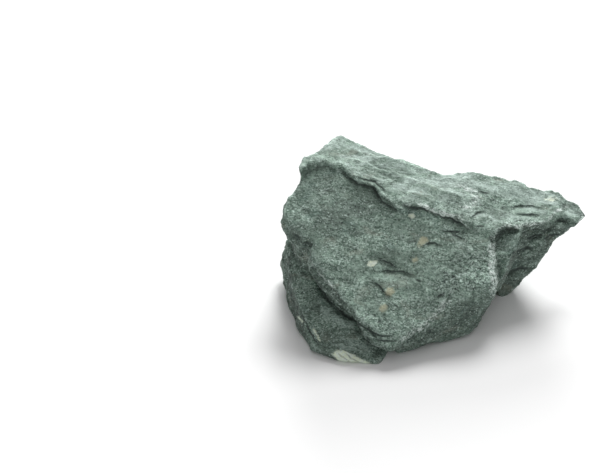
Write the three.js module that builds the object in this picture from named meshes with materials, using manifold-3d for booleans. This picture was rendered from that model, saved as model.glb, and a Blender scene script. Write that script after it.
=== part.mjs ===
// A rough green slate stone, as it was split from the quarry face: one solid.
// Millimetres, +Z up, +X along the stone's length, the viewer's side towards -Y.
// The origin is the middle of the bounding box at the level the stone stands on.
//
// The corners are given in a drawing frame whose zero is under the front of the stone.
// The stone is joined from convex blocks, for its masses, and from slate layers: each layer
// is a slab cut to a jagged outline, so its broken edge overhangs what lies below it.
import * as THREE from "three";
import { ConvexGeometry } from "three/addons/geometries/ConvexGeometry.js";
import { ImprovedNoise } from "three/addons/math/ImprovedNoise.js";
import { mergeVertices } from "three/addons/utils/BufferGeometryUtils.js";
import Module from "manifold-3d";

const wasm = await Module();
wasm.setup();

// Driving dimensions
const LENGTH = 230; // from the left flank to the tip of the beak
const LONGEST_EDGE = 10; // of the triangles that carry the broken surface
const WORN_FOOT = 2.2; // what is lower than this is worn flat where the stone stands
const SPLIT_DIP = 26; // degrees that the slate layers dip towards the viewer
const SPLIT_TILT = -5; // degrees that they drop to the right
const LAYER = 15; // thickness of the slate layers whose ends show at the sides
const LEDGE = 6; // how far one layer may reach past the next, a third of a length from the middle
const BROAD_WAVE = 62; // length of the broad swells of the broken surface
const BROAD_SWING = 2.6; // and how far they move it
const FINE_WAVE = 21; // length of its small dents
const FINE_SWING = 1.5; // and how far they move it
const TOP_LAYER = { front: 9, thinnest: 4, left: 80, thickest: 13 }; // along Y
const REAR_LAYER = { step: -36, thickest: 14, tip: 117, thinnest: 4 }; // along X

// Broad planes that the stone split along: a point on each, its dip and its tilt
const lowFace = plane([-34.8, 8.7, 16], 34, -5);
const highFace = plane([-24.6, 63.1, 51.8], 27, -5);
const rearLeftFace = plane([-25.4, 100.9, 75.6], 14, -12.3);
const rearRightFace = plane([0.8, 102.8, 72.8], 16, -9);

// The height of a plane over any place in plan
function plane([x0, y0, z0], dip, tilt) {
  const rise = Math.tan(THREE.MathUtils.degToRad(dip));
  const slant = Math.tan(THREE.MathUtils.degToRad(tilt));
  return (x, y) => z0 + slant * (x - x0) + rise * (y - y0);
}

const faceAt = (x, y) => Math.min(lowFace(x, y), highFace(x, y));

// The mass under the main face, to the ridge and the bulge at its right
const core = {
  apex: [-32, 14, 15],
  leftLow: [-51, 27, 25],
  leftMiddle: [-69, 46, 38],
  leftHigh: [-89, 68, 53],
  leftShoulder: [-105, 96, 68],
  stepLeft: [-80, 128, 83],
  stepMiddle: [-25, 104, 69.5],
  stepRight: [25, 92, 61.8],
  rightEdgeTop: [46, 87, 57.5],
  rightEdgeHigh: [45.4, 76.9, 52.5],
  rightEdgeMiddle: [46.6, 62.4, 44.9],
  rightEdgeLow: [46, 53.3, 38.9],
  ridgeHigh: [15.2, 51.5, 40.2],
  ridgeUpper: [10.5, 44.8, 36.2],
  ridgeMiddle: [5, 35.6, 30.5],
  ridgeLower: [-4, 27.6, 25.8],
  ridgeLow: [-12.9, 20.8, 22],
  ridgeFront: [-26.1, 13.2, 18.1],
  crestLeft: [-88, 141, 88],
  crestPeak: [-68, 162, 92],
  crestRight: [36, 140, 70],
  front: [-27, 17, 4],
  bulgeLeft: [6, 34, 3],
  bulgeMiddle: [24, 36, 5],
  bulgeRight: [38, 49, 9],
  bulgeHigh: [46, 60, 24],
  leftFootLow: [-60, 40, 16],
  leftFootHigh: [-101, 86, 38],
  leftBack: [-106, 118, 46],
  backLeft: [-74, 164, 24],
  backMiddle: [-20, 163, 40],
  backRight: [40, 146, 14],
  underRight: [40, 88, 5],
  underLeft: [-50, 140, 5],
};

// The lower mass behind, which stands out under a slanting ledge
const backMass = {
  ledgeLeft: [-88, 150, 52],
  ledgePeak: [-67, 167.5, 60],
  ledgeMiddle: [-30, 167, 51],
  ledgeRight: [4, 161, 44],
  ledgeEnd: [26, 150, 38],
  bellyLeft: [-80, 158, 28],
  bellyMiddle: [-42, 166, 22],
  bellyRight: [2, 158, 18],
  innerLeft: [-80, 120, 62],
  innerRight: [10, 120, 50],
  lowLeft: [-64, 140, 7],
  lowRight: [4, 138, 7],
};

// The top layer: its jagged left edge from the apex up, the part under the rear layers,
// its right rim and the ridge back to the apex
const topLayer = [
  ...[[-34.8, 8.7], [-44.7, 14], [-52.5, 19.1], [-55.3, 23.3], [-59.5, 29.3], [-68.7, 38.1]],
  ...[[-73.7, 44.1], [-84.5, 53], [-90.2, 57.7], [-93.1, 62], [-92.4, 68.5], [-88, 74]],
  ...[[-93.6, 76.7], [-99, 74.6], [-108.5, 82.8], [-111, 91.6], [-107.9, 105], [-100, 120]],
  ...[[-96, 132], [-60, 140], [20, 120], [44, 92], [45.4, 76.9], [46.6, 62.4]],
  ...[[46, 53.3], [34, 53], [15.2, 51.5], [10.5, 44.8], [5, 35.6], [-4, 27.6]],
  ...[[-12.9, 20.8], [-26.1, 13.2]],
];

// The layers behind the step, which lie on the main face and end at the crest
const rearLeftLayer = [
  ...[[-101, 119], [-95, 129], [-80, 133], [-67.4, 129.2], [-63, 125.7], [-56.3, 120]],
  ...[[-43.6, 117.9], [-36.4, 108.4], [-25.4, 100.9], [-21, 99.7], [-8, 107], [6, 118]],
  ...[[0.4, 145], [-21, 149], [-32.5, 150.2], [-40.1, 153.5], [-49.9, 159.4], [-59.1, 162.3]],
  ...[[-66.8, 164.5], [-83.9, 147], [-98, 133]],
];
// The right one reaches over the right end as a brow, with a lobe where the rib carries it
const rearRightLayer = [
  ...[[-56, 132], [-38, 119], [-21.6, 104.2], [-13.4, 102.5], [-3.7, 101.7], [0.8, 102.8]],
  ...[[8.9, 99.6], [18.4, 96.6], [24.8, 91], [36, 89], [48.2, 88], [55.3, 91]],
  ...[[62.4, 94.9], [66.3, 95.5], [71.1, 91.7], [71.7, 97.4], [77.2, 99.2], [84.9, 99.5], [92.1, 102.5]],
  ...[[95, 107.7], [103.1, 111.8], [106.4, 107.7], [113, 105.8], [119.5, 114.5], [116, 124]],
  ...[[106, 130], [99, 135.5], [89, 137], [75.7, 136], [66.9, 142], [52.1, 141.5]],
  ...[[35.4, 143.5], [13, 142], [-0.1, 141], [-12.9, 145.3], [-34, 148.5], [-56, 151]],
];

// The right end: a beak that overhangs the ground, drawn back under the brow
const beak = {
  crestMiddle: [14, 138, 76],
  crestRight: [35.4, 140.5, 76],
  crestOver: [52.1, 137.5, 72.5],
  crestSaddle: [75.7, 134, 67.5],
  browLeft: [46, 92, 56],
  browMiddle: [62, 101, 56],
  browRight: [84, 104.5, 50],
  underHigh: [97, 104, 42.5],
  underUpper: [92, 101.5, 34.5],
  underMiddle: [76.5, 94, 17],
  underLow: [71, 91, 9.8],
  heelFront: [56, 84, 0],
  heelBack: [50, 138, 0],
  heelInner: [20, 120, 2],
  backInner: [6, 150, 26],
  backHigh: [92, 124, 50],
  backUnder: [86, 128, 38],
  backMiddle: [72, 137, 28],
  backLow: [48, 143, 10],
};

// Its end, which juts out over a bend in the underside
const beakEnd = {
  crestSaddle: [75.7, 134, 67.5],
  crestKnob: [91, 137, 65.5],
  crestEnd: [104, 129.5, 61.8],
  crestTip: [113.5, 123.5, 58.6],
  tip: [116.8, 114, 56.4],
  tipFront: [112, 106.3, 54.5],
  tipUnder: [111, 107, 51.5],
  browMiddle: [62, 103, 55],
  browRight: [84, 104.5, 55],
  browEnd: [98, 107.5, 56],
  underFront: [103, 106, 46],
  underMiddle: [95, 104, 42],
  underInner: [66, 106, 42],
  backUnder: [94, 129, 46],
  backInner: [64, 132, 50],
};

// The rib between the main face and the beak, from the brow down to the ground
const rib = {
  top: [70.3, 91, 58],
  high: [69.2, 89.5, 53.3],
  shoulder: [63, 87, 44.7],
  middle: [57.9, 85, 39.7],
  low: [56, 80, 30.6],
  lower: [53.2, 76, 24.6],
  foot: [51, 74, 16],
  rimHigh: [43, 72, 47],
  rimLow: [42, 58, 24],
  innerTop: [64, 104, 54],
  innerHigh: [40, 94, 53],
  innerMiddle: [38, 88, 26],
  innerLow: [54, 98, 6],
};

// The foot: a lower layer that reaches out to the left and to the front
const foot = {
  rimHigh: [-110, 104, 41],
  rimLeft: [-102, 74, 29],
  rimMiddle: [-97, 45, 19.5],
  rimLow: [-87, 19, 9.5],
  rimFront: [-67, 9, 6.5],
  rimCorner: [-41, 6, 4],
  baseHigh: [-112, 112, 10],
  baseLeft: [-108, 88, 0],
  baseMiddle: [-101, 46, 0],
  baseLow: [-88, 22, 0],
  baseFront: [-67, 10, 0],
  baseCorner: [-41, 7, 0],
  baseRight: [-29, 20, 0],
  baseBack: [-40, 128, 0],
  baseBackLeft: [-96, 132, 0],
  backLeft: [-104, 128, 30],
  innerLow: [-44, 26, 12.5],
  innerMiddle: [-60, 42, 22],
  innerHigh: [-92, 108, 52],
};

// A layer broken off the underside of the beak, which leaves a ledge above the break
const brokenUnder = {
  frontLeft: [66, 82, 45],
  frontRight: [100, 98, 50],
  frontLowLeft: [60, 78, 20],
  frontLowRight: [84, 90, 22],
  ledgeLeft: [67, 96.5, 43],
  ledgeMiddle: [80, 102, 46],
  ledgeRight: [97, 107, 48],
  lowLeft: [62, 90, 25],
};

// A bite out of the back, behind the crest, so that the skyline sags
const biteBehindCrest = {
  topLeft: [-46, 157, 120],
  topSlope: [-20, 146.5, 120],
  topLow: [1, 141.5, 120],
  topRight: [36, 143, 120],
  topFarRight: [60, 170, 120],
  topFarLeft: [-70, 190, 120],
  bottomLeft: [-40, 172, 30],
  bottomLow: [0, 158, 30],
  bottomRight: [40, 160, 30],
};

// A smaller one behind the brow, before the knob of the beak
const biteBehindBrow = {
  topLeft: [62, 145, 100],
  topLow: [75.5, 135, 100],
  topRight: [90, 142, 100],
  topFar: [76, 160, 100],
  bottomLeft: [60, 152, 40],
  bottomLow: [76, 142, 48],
  bottomRight: [90, 148, 46],
};

// The solid of a geometry whose faces share their corners by place
function solidOf(geometry) {
  geometry.deleteAttribute("normal");
  geometry.deleteAttribute("uv");
  const merged = mergeVertices(geometry, 1e-3);
  return new wasm.Manifold(
    new wasm.Mesh({
      numProp: 3,
      vertProperties: new Float32Array(merged.attributes.position.array),
      triVerts: new Uint32Array(merged.index.array),
    }),
  );
}

// The block that a set of corners spans
function block(corners) {
  return solidOf(new ConvexGeometry(Object.values(corners).map((p) => new THREE.Vector3(...p))));
}

// A layer of slate: upright walls along the outline, the roof above and a floor below it
function layer(outline, roof, thickness) {
  const shape = new THREE.Shape(outline.map(([x, y]) => new THREE.Vector2(x, y)));
  const geometry = new THREE.ExtrudeGeometry(shape, { depth: 1, bevelEnabled: false });
  const place = geometry.attributes.position;
  for (let i = 0; i < place.count; i++) {
    const [x, y, top] = [place.getX(i), place.getY(i), place.getZ(i) > 0.5];
    place.setZ(i, roof(x, y) - (top ? 0 : thickness(x, y)));
  }
  return solidOf(geometry);
}

// Splits every edge longer than the limit, with each neighbour, so the surface stays closed
function splitLongEdges(points, triangles, limit) {
  const middles = new Map();
  const count = points.length;
  const middleOf = (a, b) => {
    if (points[a].distanceTo(points[b]) <= limit) return -1;
    const key = Math.min(a, b) * count + Math.max(a, b);
    if (!middles.has(key)) {
      middles.set(key, points.length);
      points.push(points[a].clone().lerp(points[b], 0.5));
    }
    return middles.get(key);
  };
  const made = [];
  for (const [a, b, c] of triangles) {
    const [ab, bc, ca] = [middleOf(a, b), middleOf(b, c), middleOf(c, a)];
    const split = [ab, bc, ca].filter((m) => m >= 0).length;
    if (split === 0) made.push([a, b, c]);
    else if (split === 3) made.push([a, ab, ca], [ab, b, bc], [ca, bc, c], [ab, bc, ca]);
    else {
      // Turned round so that the first edge is split, and with two splits the last is whole
      let [p, q, r, pq, qr] = [a, b, c, ab, bc];
      if (pq < 0 || (split === 2 && qr < 0)) [p, q, r, pq, qr] = [b, c, a, bc, ca];
      if (pq < 0 || (split === 2 && qr < 0)) [p, q, r, pq, qr] = [c, a, b, ca, ab];
      if (split === 1) made.push([p, pq, r], [pq, q, r]);
      else made.push([pq, q, qr], [p, pq, r], [pq, qr, r]);
    }
  }
  return made;
}

// The surface of a solid with no edge longer than the limit
function refined(solid, longest) {
  const mesh = solid.getMesh();
  const points = [];
  for (let i = 0; i < mesh.numVert; i++)
    points.push(new THREE.Vector3().fromArray(mesh.vertProperties, i * mesh.numProp));
  let triangles = [];
  for (let i = 0; i < mesh.triVerts.length; i += 3)
    triangles.push([...mesh.triVerts.subarray(i, i + 3)]);
  for (let limit = LENGTH; limit > longest; limit /= 1.4)
    triangles = splitLongEdges(points, triangles, limit);
  triangles = splitLongEdges(points, triangles, longest);
  const geometry = new THREE.BufferGeometry().setFromPoints(points);
  geometry.setIndex(triangles.flat());
  return geometry;
}

// The top layer thins out towards the apex, and the right rear one towards the tip
const { mapLinear } = THREE.MathUtils;
const topThickness = (x, y) =>
  mapLinear(y, TOP_LAYER.front, TOP_LAYER.left, TOP_LAYER.thinnest, TOP_LAYER.thickest);
const rearLeftThickness = () => REAR_LAYER.thickest;
const rearRightThickness = (x) =>
  mapLinear(x, REAR_LAYER.step, REAR_LAYER.tip, REAR_LAYER.thickest, REAR_LAYER.thinnest);

const blocks = block(core)
  .add(layer(topLayer, faceAt, topThickness))
  .add(layer(rearLeftLayer, rearLeftFace, rearLeftThickness))
  .add(layer(rearRightLayer, rearRightFace, rearRightThickness))
  .add(block(backMass))
  .add(block(foot))
  .add(block(beak))
  .add(block(beakEnd))
  .add(block(rib))
  .subtract(block(brokenUnder))
  .subtract(block(biteBehindCrest))
  .subtract(block(biteBehindBrow));

// The break is uneven: each layer ends a little further out or in than the next, along
// itself, and the whole surface swells and dents. All moves are smooth, so nothing folds over.
const noise = new ImprovedNoise();
const splitNormal = new THREE.Vector3(0, 0, 1).applyEuler(
  new THREE.Euler(
    THREE.MathUtils.degToRad(SPLIT_DIP),
    THREE.MathUtils.degToRad(-SPLIT_TILT),
    0,
    "YXZ",
  ),
);
const middle = new THREE.Vector3(0, 90, 45);

// How far the layer at a height above the middle reaches, from -1 to 1
function layerReach(height) {
  const layerNumber = Math.floor(height / LAYER);
  const reachOf = (k) => noise.noise(1.7 * k + 0.45, 3.3, 7.7);
  const step = THREE.MathUtils.smoothstep(height / LAYER - layerNumber, 0.4, 1);
  return THREE.MathUtils.lerp(reachOf(layerNumber), reachOf(layerNumber + 1), step);
}

// A smooth move with a given wave length
function swell(point, wave, swing) {
  const at = point.clone().divideScalar(wave);
  return new THREE.Vector3(
    noise.noise(at.x, at.y, at.z + 11.5),
    noise.noise(at.x + 31.4, at.y, at.z),
    noise.noise(at.x, at.y + 17.9, at.z),
  ).multiplyScalar(swing);
}

function broken(geometry) {
  const place = geometry.attributes.position;
  for (let i = 0; i < place.count; i++) {
    const point = new THREE.Vector3().fromBufferAttribute(place, i);
    const arm = point.clone().sub(middle);
    const height = arm.dot(splitNormal);
    arm.addScaledVector(splitNormal, -height);
    const moved = point
      .clone()
      .addScaledVector(arm, (LEDGE * layerReach(height)) / (LENGTH / 3))
      .add(swell(point, BROAD_WAVE, BROAD_SWING))
      .add(swell(point, FINE_WAVE, FINE_SWING));
    place.setXYZ(i, moved.x, moved.y, moved.z);
  }
  return geometry;
}

// Worn flat underneath, so that the stone stands on its foot and its heel
const ground = new THREE.BoxGeometry(3 * LENGTH, 3 * LENGTH, LENGTH);
ground.translate(0, 0, WORN_FOOT - LENGTH / 2);
const standing = solidOf(broken(refined(blocks, LONGEST_EDGE))).subtract(solidOf(ground));

// The origin moves under the middle, and the length becomes the real one
const mesh = standing.getMesh();
const geometry = new THREE.BufferGeometry();
geometry.setAttribute("position", new THREE.BufferAttribute(mesh.vertProperties, 3));
geometry.setIndex(new THREE.BufferAttribute(mesh.triVerts, 1));
geometry.computeBoundingBox();
const span = geometry.boundingBox;
geometry.translate(-(span.min.x + span.max.x) / 2, -(span.min.y + span.max.y) / 2, -WORN_FOOT);
const scale = LENGTH / (span.max.x - span.min.x);
geometry.scale(scale, scale, scale);
geometry.computeVertexNormals();

const slate = new THREE.MeshStandardMaterial({ color: 0x6b7a72, roughness: 0.9, metalness: 0 });
const stone = new THREE.Mesh(geometry, slate);
stone.name = "slate_stone";

const root = new THREE.Group();
root.add(stone);
export default root;
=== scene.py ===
# %% [markdown]
# # A green slate stone
# A rough piece of green slate, as it comes from the quarry: a wedge with one broad split face,
# a stepped ledge above it and a beak that overhangs the ground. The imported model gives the
# stone's masses and its place. This script gives it the skin of a real stone: broken layer ends,
# scars, grain, stains and pale bruises along the edges.

import math

import bmesh
import bpy
import numpy as np
from mathutils import Matrix, Vector, kdtree, noise
from mathutils.bvhtree import BVHTree


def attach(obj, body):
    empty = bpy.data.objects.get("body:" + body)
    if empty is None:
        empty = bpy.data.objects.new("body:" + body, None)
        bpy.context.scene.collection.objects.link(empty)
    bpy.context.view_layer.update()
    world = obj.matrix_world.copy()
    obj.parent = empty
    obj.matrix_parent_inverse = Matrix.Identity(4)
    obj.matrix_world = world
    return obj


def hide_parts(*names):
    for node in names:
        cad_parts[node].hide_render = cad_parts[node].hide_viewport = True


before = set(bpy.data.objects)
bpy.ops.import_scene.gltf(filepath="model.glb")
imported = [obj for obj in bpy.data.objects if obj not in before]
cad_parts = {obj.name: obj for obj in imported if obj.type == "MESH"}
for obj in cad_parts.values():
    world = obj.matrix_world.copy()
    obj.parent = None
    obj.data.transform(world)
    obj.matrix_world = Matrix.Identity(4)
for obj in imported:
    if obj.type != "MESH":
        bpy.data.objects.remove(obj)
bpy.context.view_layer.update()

# %% [markdown]
# ## The camera
# The stone is seen from 35 degrees above, with a lens long enough to keep its faces nearly
# undistorted. The camera comes first because the marks on the stone are placed through it: a mark
# that is seen at some pixel of the picture lies where the ray through that pixel meets the stone.

# %% The camera
MM = 0.001
PICTURE = (600, 473)  # pixels
LENS = 85
SENSOR = 36
PIXELS = LENS / SENSOR * PICTURE[0]  # distance of the picture from the lens, in its own pixels
ELEVATION = math.radians(35)
LOOKS_AT = Vector((-100.0, 10.9, 47.6)) * MM
DISTANCE = 1058.4 * MM

camera_data = bpy.data.cameras.new("camera")
camera_data.lens = LENS
camera_data.sensor_width = SENSOR
camera = bpy.data.objects.new("camera", camera_data)
bpy.context.scene.collection.objects.link(camera)
bpy.context.scene.camera = camera
ahead = Vector((0, math.cos(ELEVATION), -math.sin(ELEVATION)))
camera.location = LOOKS_AT - DISTANCE * ahead
camera.rotation_euler = ahead.to_track_quat("-Z", "Y").to_euler()
bpy.context.view_layer.update()
INTO_VIEW = camera.matrix_world.inverted()


def ray_through(pixel):
    """The direction of the camera's ray through a pixel of the picture."""
    u, v = pixel
    direction = Vector((u - PICTURE[0] / 2, PICTURE[1] / 2 - v, -PIXELS))
    return (camera.matrix_world.to_3x3() @ direction).normalized()


def pixel_of(point):
    """The pixel of the picture at which a place is seen."""
    x, y, z = INTO_VIEW @ point
    return PICTURE[0] / 2 - PIXELS * x / z, PICTURE[1] / 2 + PIXELS * y / z


print("camera at", [round(x, 3) for x in camera.location])

# %% [markdown]
# ## The raw stone
# The solid's faces are flat triangles up to a centimetre long. They are sewn together, and a
# voxel remesh lays an even net of about a millimetre over them, in which every later blow of the
# chisel has enough points to move. Subdividing the triangles would keep their long thin shapes.

# %% The raw stone
NET = 0.8 * MM  # spacing of the net
SAME_CORNER = 1e-6  # metres between corners that are one and the same


def opened(piece):
    """A piece's mesh, opened for editing."""
    bm = bmesh.new()
    bm.from_mesh(piece.data)
    bm.verts.ensure_lookup_table()
    return bm


def put_back(bm, piece):
    """Writes an edited mesh to a piece."""
    bm.to_mesh(piece.data)
    bm.free()


def bake_modifiers(piece):
    """Replaces a piece's mesh by what its modifiers make of it."""
    dg = bpy.context.evaluated_depsgraph_get()
    mesh = bpy.data.meshes.new_from_object(piece.evaluated_get(dg))
    piece.modifiers.clear()
    piece.data = mesh


def lay_net(piece):
    """Lays an even net of points over the piece."""
    net = piece.modifiers.new("net", "REMESH")
    net.mode = "VOXEL"
    net.voxel_size = NET
    bake_modifiers(piece)
    print("net points", len(piece.data.vertices))


bm = opened(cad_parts["slate_stone"])
bmesh.ops.remove_doubles(bm, verts=bm.verts, dist=SAME_CORNER)
stone = bpy.data.objects.new("green_slate_stone", bpy.data.meshes.new("green_slate_stone"))
bpy.context.scene.collection.objects.link(stone)
put_back(bm, stone)
lay_net(stone)

# %% [markdown]
# ## Melting the facets
# The flat triangles still show in the net as faint creases. Points where the net is nearly flat
# are averaged with their neighbours many times; points on a real edge are left out, so ledges
# stay sharp while the facets melt.

# %% Melting the facets
NEARLY_FLAT = math.radians(13)  # a bend between faces that counts as flat
SEAT = 0.5 * MM  # points below this height belong to the flat seat


def melt_facets(piece, rounds):
    """Averages the points away from the edges many times, and then all points twice."""
    bm = opened(piece)
    raised = [v for v in bm.verts if v.co.z > SEAT]
    sharp = {v for e in bm.edges if e.calc_face_angle(0) > NEARLY_FLAT for v in e.verts}
    calm = [v for v in raised if v not in sharp]
    axes = {"use_axis_x": True, "use_axis_y": True, "use_axis_z": True}
    for points in [calm] * rounds + [raised] * 2:
        bmesh.ops.smooth_vert(bm, verts=points, factor=0.5, **axes)
    put_back(bm, piece)
    print("calm points", len(calm), "of", len(raised))


melt_facets(stone, 24)

# %% [markdown]
# ## The way the slate splits
# Slate is a stack of thin layers. All its breaks are ruled by their direction, so the script
# thinks along three axes: along the strike (level, to the right), up the dip (away from the
# viewer) and across the layers. The noise gets a fixed seed, so that every run breaks the stone
# in the same way.

# %% The way the slate splits
noise.seed_set(1)
DIP = math.radians(26)
TILT = math.radians(-5)
ACROSS = Vector((-math.tan(TILT), -math.tan(DIP), 1)).normalized()
STRIKE = Vector((1, 0, math.tan(TILT))).normalized()
UP_DIP = ACROSS.cross(STRIKE)
SLATE = Matrix((STRIKE, UP_DIP, ACROSS))  # turns a point into strike, dip and height


def swell(point, along, down, across, seed):
    """Smooth noise from -1 to 1 whose waves have the given lengths in the slate's directions."""
    s, d, h = SLATE @ point
    return noise.noise(Vector((s / along + seed, d / down, h / across)))


def smooth_step(x, low, high):
    """0 below low, 1 above high, and an even rise between them."""
    t = min(max((x - low) / (high - low), 0.0), 1.0)
    return t * t * (3 - 2 * t)


def broken_across(normal):
    """1 where the stone is broken across its layers and 0 on a split face."""
    return 1 - smooth_step(abs(ACROSS.dot(normal)), 0.7, 0.9)


print("across the layers", [round(x, 3) for x in ACROSS])

# %% [markdown]
# ## Blows
# The next steps move the points of the net by a few millimetres, as a chisel would. The blows
# fade out near the ground, where the stone keeps its flat seat. A ray into the stone measures
# how thick it is, so that no blow breaks a thin edge through from behind.

# %% Blows
THINNEST = 1.6  # mm of stone that blows from both sides leave standing
UNDER_THE_SKIN = 0.3  # mm, where the ray that measures the thickness starts
GENTLE = 0.4  # mm, a blow too shallow to break through anything


def above_ground(height):
    """0 at the ground and 1 from 3 mm up."""
    return smooth_step(height, 0.3, 3.0)


def deepest_blow(skin, place, inward):
    """How deep in mm a blow may go when one from the other side may go as deep."""
    behind = skin.ray_cast(place + inward * UNDER_THE_SKIN * MM, inward)[3]
    return max((behind or 0) / MM - THINNEST, 0) / 2


def sculpt(piece, move):
    """Moves every point of the piece by what `move` gives for its place and normal, in mm."""
    bm = opened(piece)
    bm.normal_update()
    skin = BVHTree.FromBMesh(bm)
    furthest, held = 0.0, 0
    for vertex in bm.verts:
        point = vertex.co / MM
        moved = move(point, vertex.normal) * above_ground(point.z)
        if moved.length > GENTLE and moved.dot(vertex.normal) < 0:
            most = deepest_blow(skin, vertex.co, -vertex.normal)
            if moved.length > most:
                moved = moved.normalized() * most
                held += 1
        furthest = max(furthest, moved.length)
        vertex.co += moved * MM
        vertex.co.z = max(vertex.co.z, 0.0)
    put_back(bm, piece)
    print("furthest blow", round(furthest, 2), "mm; held back where thin", held)


print("stone that is left standing", THINNEST, "mm")

# %% [markdown]
# ## Jagged outlines
# A broken edge wanders. Every point is pushed along the layers by three sizes of noise, and much
# less across them, so the outlines of the ledges become jagged but the split faces stay flat.

# %% Jagged outlines
WANDER = ((16, 1.5), (7, 1.1), (3.4, 0.6))  # length of the wave and how far it pushes, mm
FLATNESS = 0.35  # share of the push that is left across the layers


def wander(point, normal):
    push = Vector((0, 0, 0))
    for wave, far in WANDER:
        push += noise.noise_vector(point / wave) * far
    across = push.dot(ACROSS) * ACROSS
    return push - (1 - FLATNESS) * across


sculpt(stone, wander)

# %% [markdown]
# ## Layer ends
# On the steep faces the layers end one after another, some further out and some further in. The
# reach of each layer is one value of noise, held over the layer's thickness and changed quickly
# to the next layer's, which gives ribs with sharp little ledges between them.

# %% Layer ends
LAYERS = ((4.6, 22, 1.8), (1.9, 10, 0.9))  # thickness, length along the layer, reach, mm
UNEVEN = 1.6  # mm by which a layer rises and sinks on its way
UNEVEN_LENGTH = 34  # mm from one rise to the next


def reach_of_layer(point, thick, long, seed):
    """How far the layer at a point stands out, from -1 to 1."""
    s, d, h = SLATE @ point
    h += UNEVEN * noise.noise(Vector((s / UNEVEN_LENGTH, d / UNEVEN_LENGTH, seed)))
    number = math.floor(h / thick)
    inside = smooth_step(h / thick - number, 0.55, 1.0)
    here = noise.noise(Vector((s / long, d / long, 5.3 * number + seed)))
    above = noise.noise(Vector((s / long, d / long, 5.3 * (number + 1) + seed)))
    return here + (above - here) * inside


def layer_ends(point, normal):
    outward = normal - normal.dot(ACROSS) * ACROSS
    steep = smooth_step(outward.length, 0.35, 0.8)
    if steep == 0:
        return Vector((0, 0, 0))
    reach = sum(far * reach_of_layer(point, thick, long, 11.7) for thick, long, far in LAYERS)
    return outward.normalized() * reach * steep


sculpt(stone, layer_ends)

# %% [markdown]
# ## Split faces
# A split face isn't one plane: it jumps from layer to layer in scarps well under a millimetre
# high, and it swells softly. The height across the layers is pulled towards a ladder of levels,
# but only in some places, as on the stone.

# %% Split faces
LEVEL = 1.1  # mm from one level to the next


def split_face(point, normal):
    flat = smooth_step(abs(normal.dot(ACROSS)), 0.75, 0.93)
    if flat == 0:
        return Vector((0, 0, 0))
    s, d, h = SLATE @ point
    height = h + 1.5 * swell(point, 26, 14, 60, 3.1) + 0.5 * swell(point, 8, 5, 60, 8.8)
    step = height / LEVEL
    number = math.floor(step)
    snapped = number + smooth_step(step - number, 0.7, 1.0)
    here_and_there = smooth_step(swell(point, 30, 18, 60, 17.3), 0.0, 0.35)
    scarp = (snapped - step + 0.35) * LEVEL * here_and_there
    soft = 0.8 * swell(point, 40, 18, 90, 5.5)
    return ACROSS * (0.7 * scarp + soft) * flat


sculpt(stone, split_face)

# %% [markdown]
# ## Chips
# What makes broken stone look broken is that it is made of small flat facets that meet in sharp
# edges. Each chip is one cell of a Voronoi pattern, flattened along the layers, with a height and
# a tilt of its own. On the split faces the chips are low, on the broken faces twice as high.

# %% Chips
CHIPS = ((18, 11, 6, 0.70), (5.5, 4.0, 2.2, 0.26))  # size along, down and across, height, mm


def chip_height(point, along, down, across, seed):
    """Height from about -1 to 1 of the chip that a point belongs to."""
    s, d, h = SLATE @ point
    place = Vector((s / along + seed, d / down, h / across))
    place += 0.25 * noise.noise_vector(place * 2.3)
    middle = noise.voronoi(place)[1][0]
    tilt = noise.noise_vector(middle * 7.7)
    return noise.noise(middle * 5.1) + 1.3 * tilt.dot(place - middle)


def chip(point, normal):
    rise = 0
    for along, down, across, height in CHIPS:
        rise += height * chip_height(point, along, down, across, 3 * along)
    return normal * rise * (0.3 + 1.1 * broken_across(normal))


sculpt(stone, chip)

# %% [markdown]
# ## Marks placed through the camera
# Some marks have a fixed place on this stone. Each is drawn as a line of pixels and laid on the
# stone by rays from the camera. One helper finds the points around such a line and says, for
# each, how far along the line it is, how far from it, and on which hand it lies. Another pushes
# points away from the viewer; pushed along their normals, the points of a narrow mark would
# collide. Points that lean away from the viewer stay, or thin ledges would tear.

# %% Marks placed through the camera
RAGGED = 0.9  # pixels by which a mark's edge wanders
PIXEL = 0.75  # mm on the stone that one pixel shows
REACH = 2.2  # times its width, how far from its line a mark is felt
LEANS_AWAY = 0.2  # the sine of the lean from which on a point stays


def nearest_span(pixel, pixels):
    """Distance of a pixel from a drawn line, its hand and the share along the line."""
    done, best = 0.0, (1e9, 0.0, 0.0)
    for (u0, v0), (u1, v1) in zip(pixels, pixels[1:]):
        du, dv = u1 - u0, v1 - v0
        length = math.hypot(du, dv)
        u, v = pixel[0] - u0, pixel[1] - v0
        t = min(max((u * du + v * dv) / length**2, 0), 1)
        gap = math.hypot(u - t * du, v - t * dv)
        if gap < best[0]:
            best = (gap, (du * v - dv * u) / length, done + t * length)
        done += length
    gap, hand, walked = best
    return gap, hand, walked / done


def points_near(bm, skin, tree, pixels, reach):
    """The points near a drawn line, as (vertex, share along it, distance, right hand) in pixels."""
    near = set()
    for start, end in zip(pixels, pixels[1:]):
        for t in (0, 0.2, 0.4, 0.6, 0.8, 1):
            pixel = Vector(start).lerp(Vector(end), t)
            hit = skin.ray_cast(camera.location, ray_through(pixel))[0]
            if hit:
                near.update(i for _, i, _ in tree.find_range(hit, (1.3 * reach * PIXEL + 1) * MM))
    found = []
    for i in sorted(near):
        point = bm.verts[i].co
        wobble = noise.noise_vector(point / MM / 2.4) + 1.3 * noise.noise_vector(point / MM / 7)
        u, v = pixel_of(point)
        gap, hand, share = nearest_span((u + RAGGED * wobble.x, v + RAGGED * wobble.y), pixels)
        if gap < reach:
            found.append((bm.verts[i], share, gap, hand))
    return found


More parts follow.
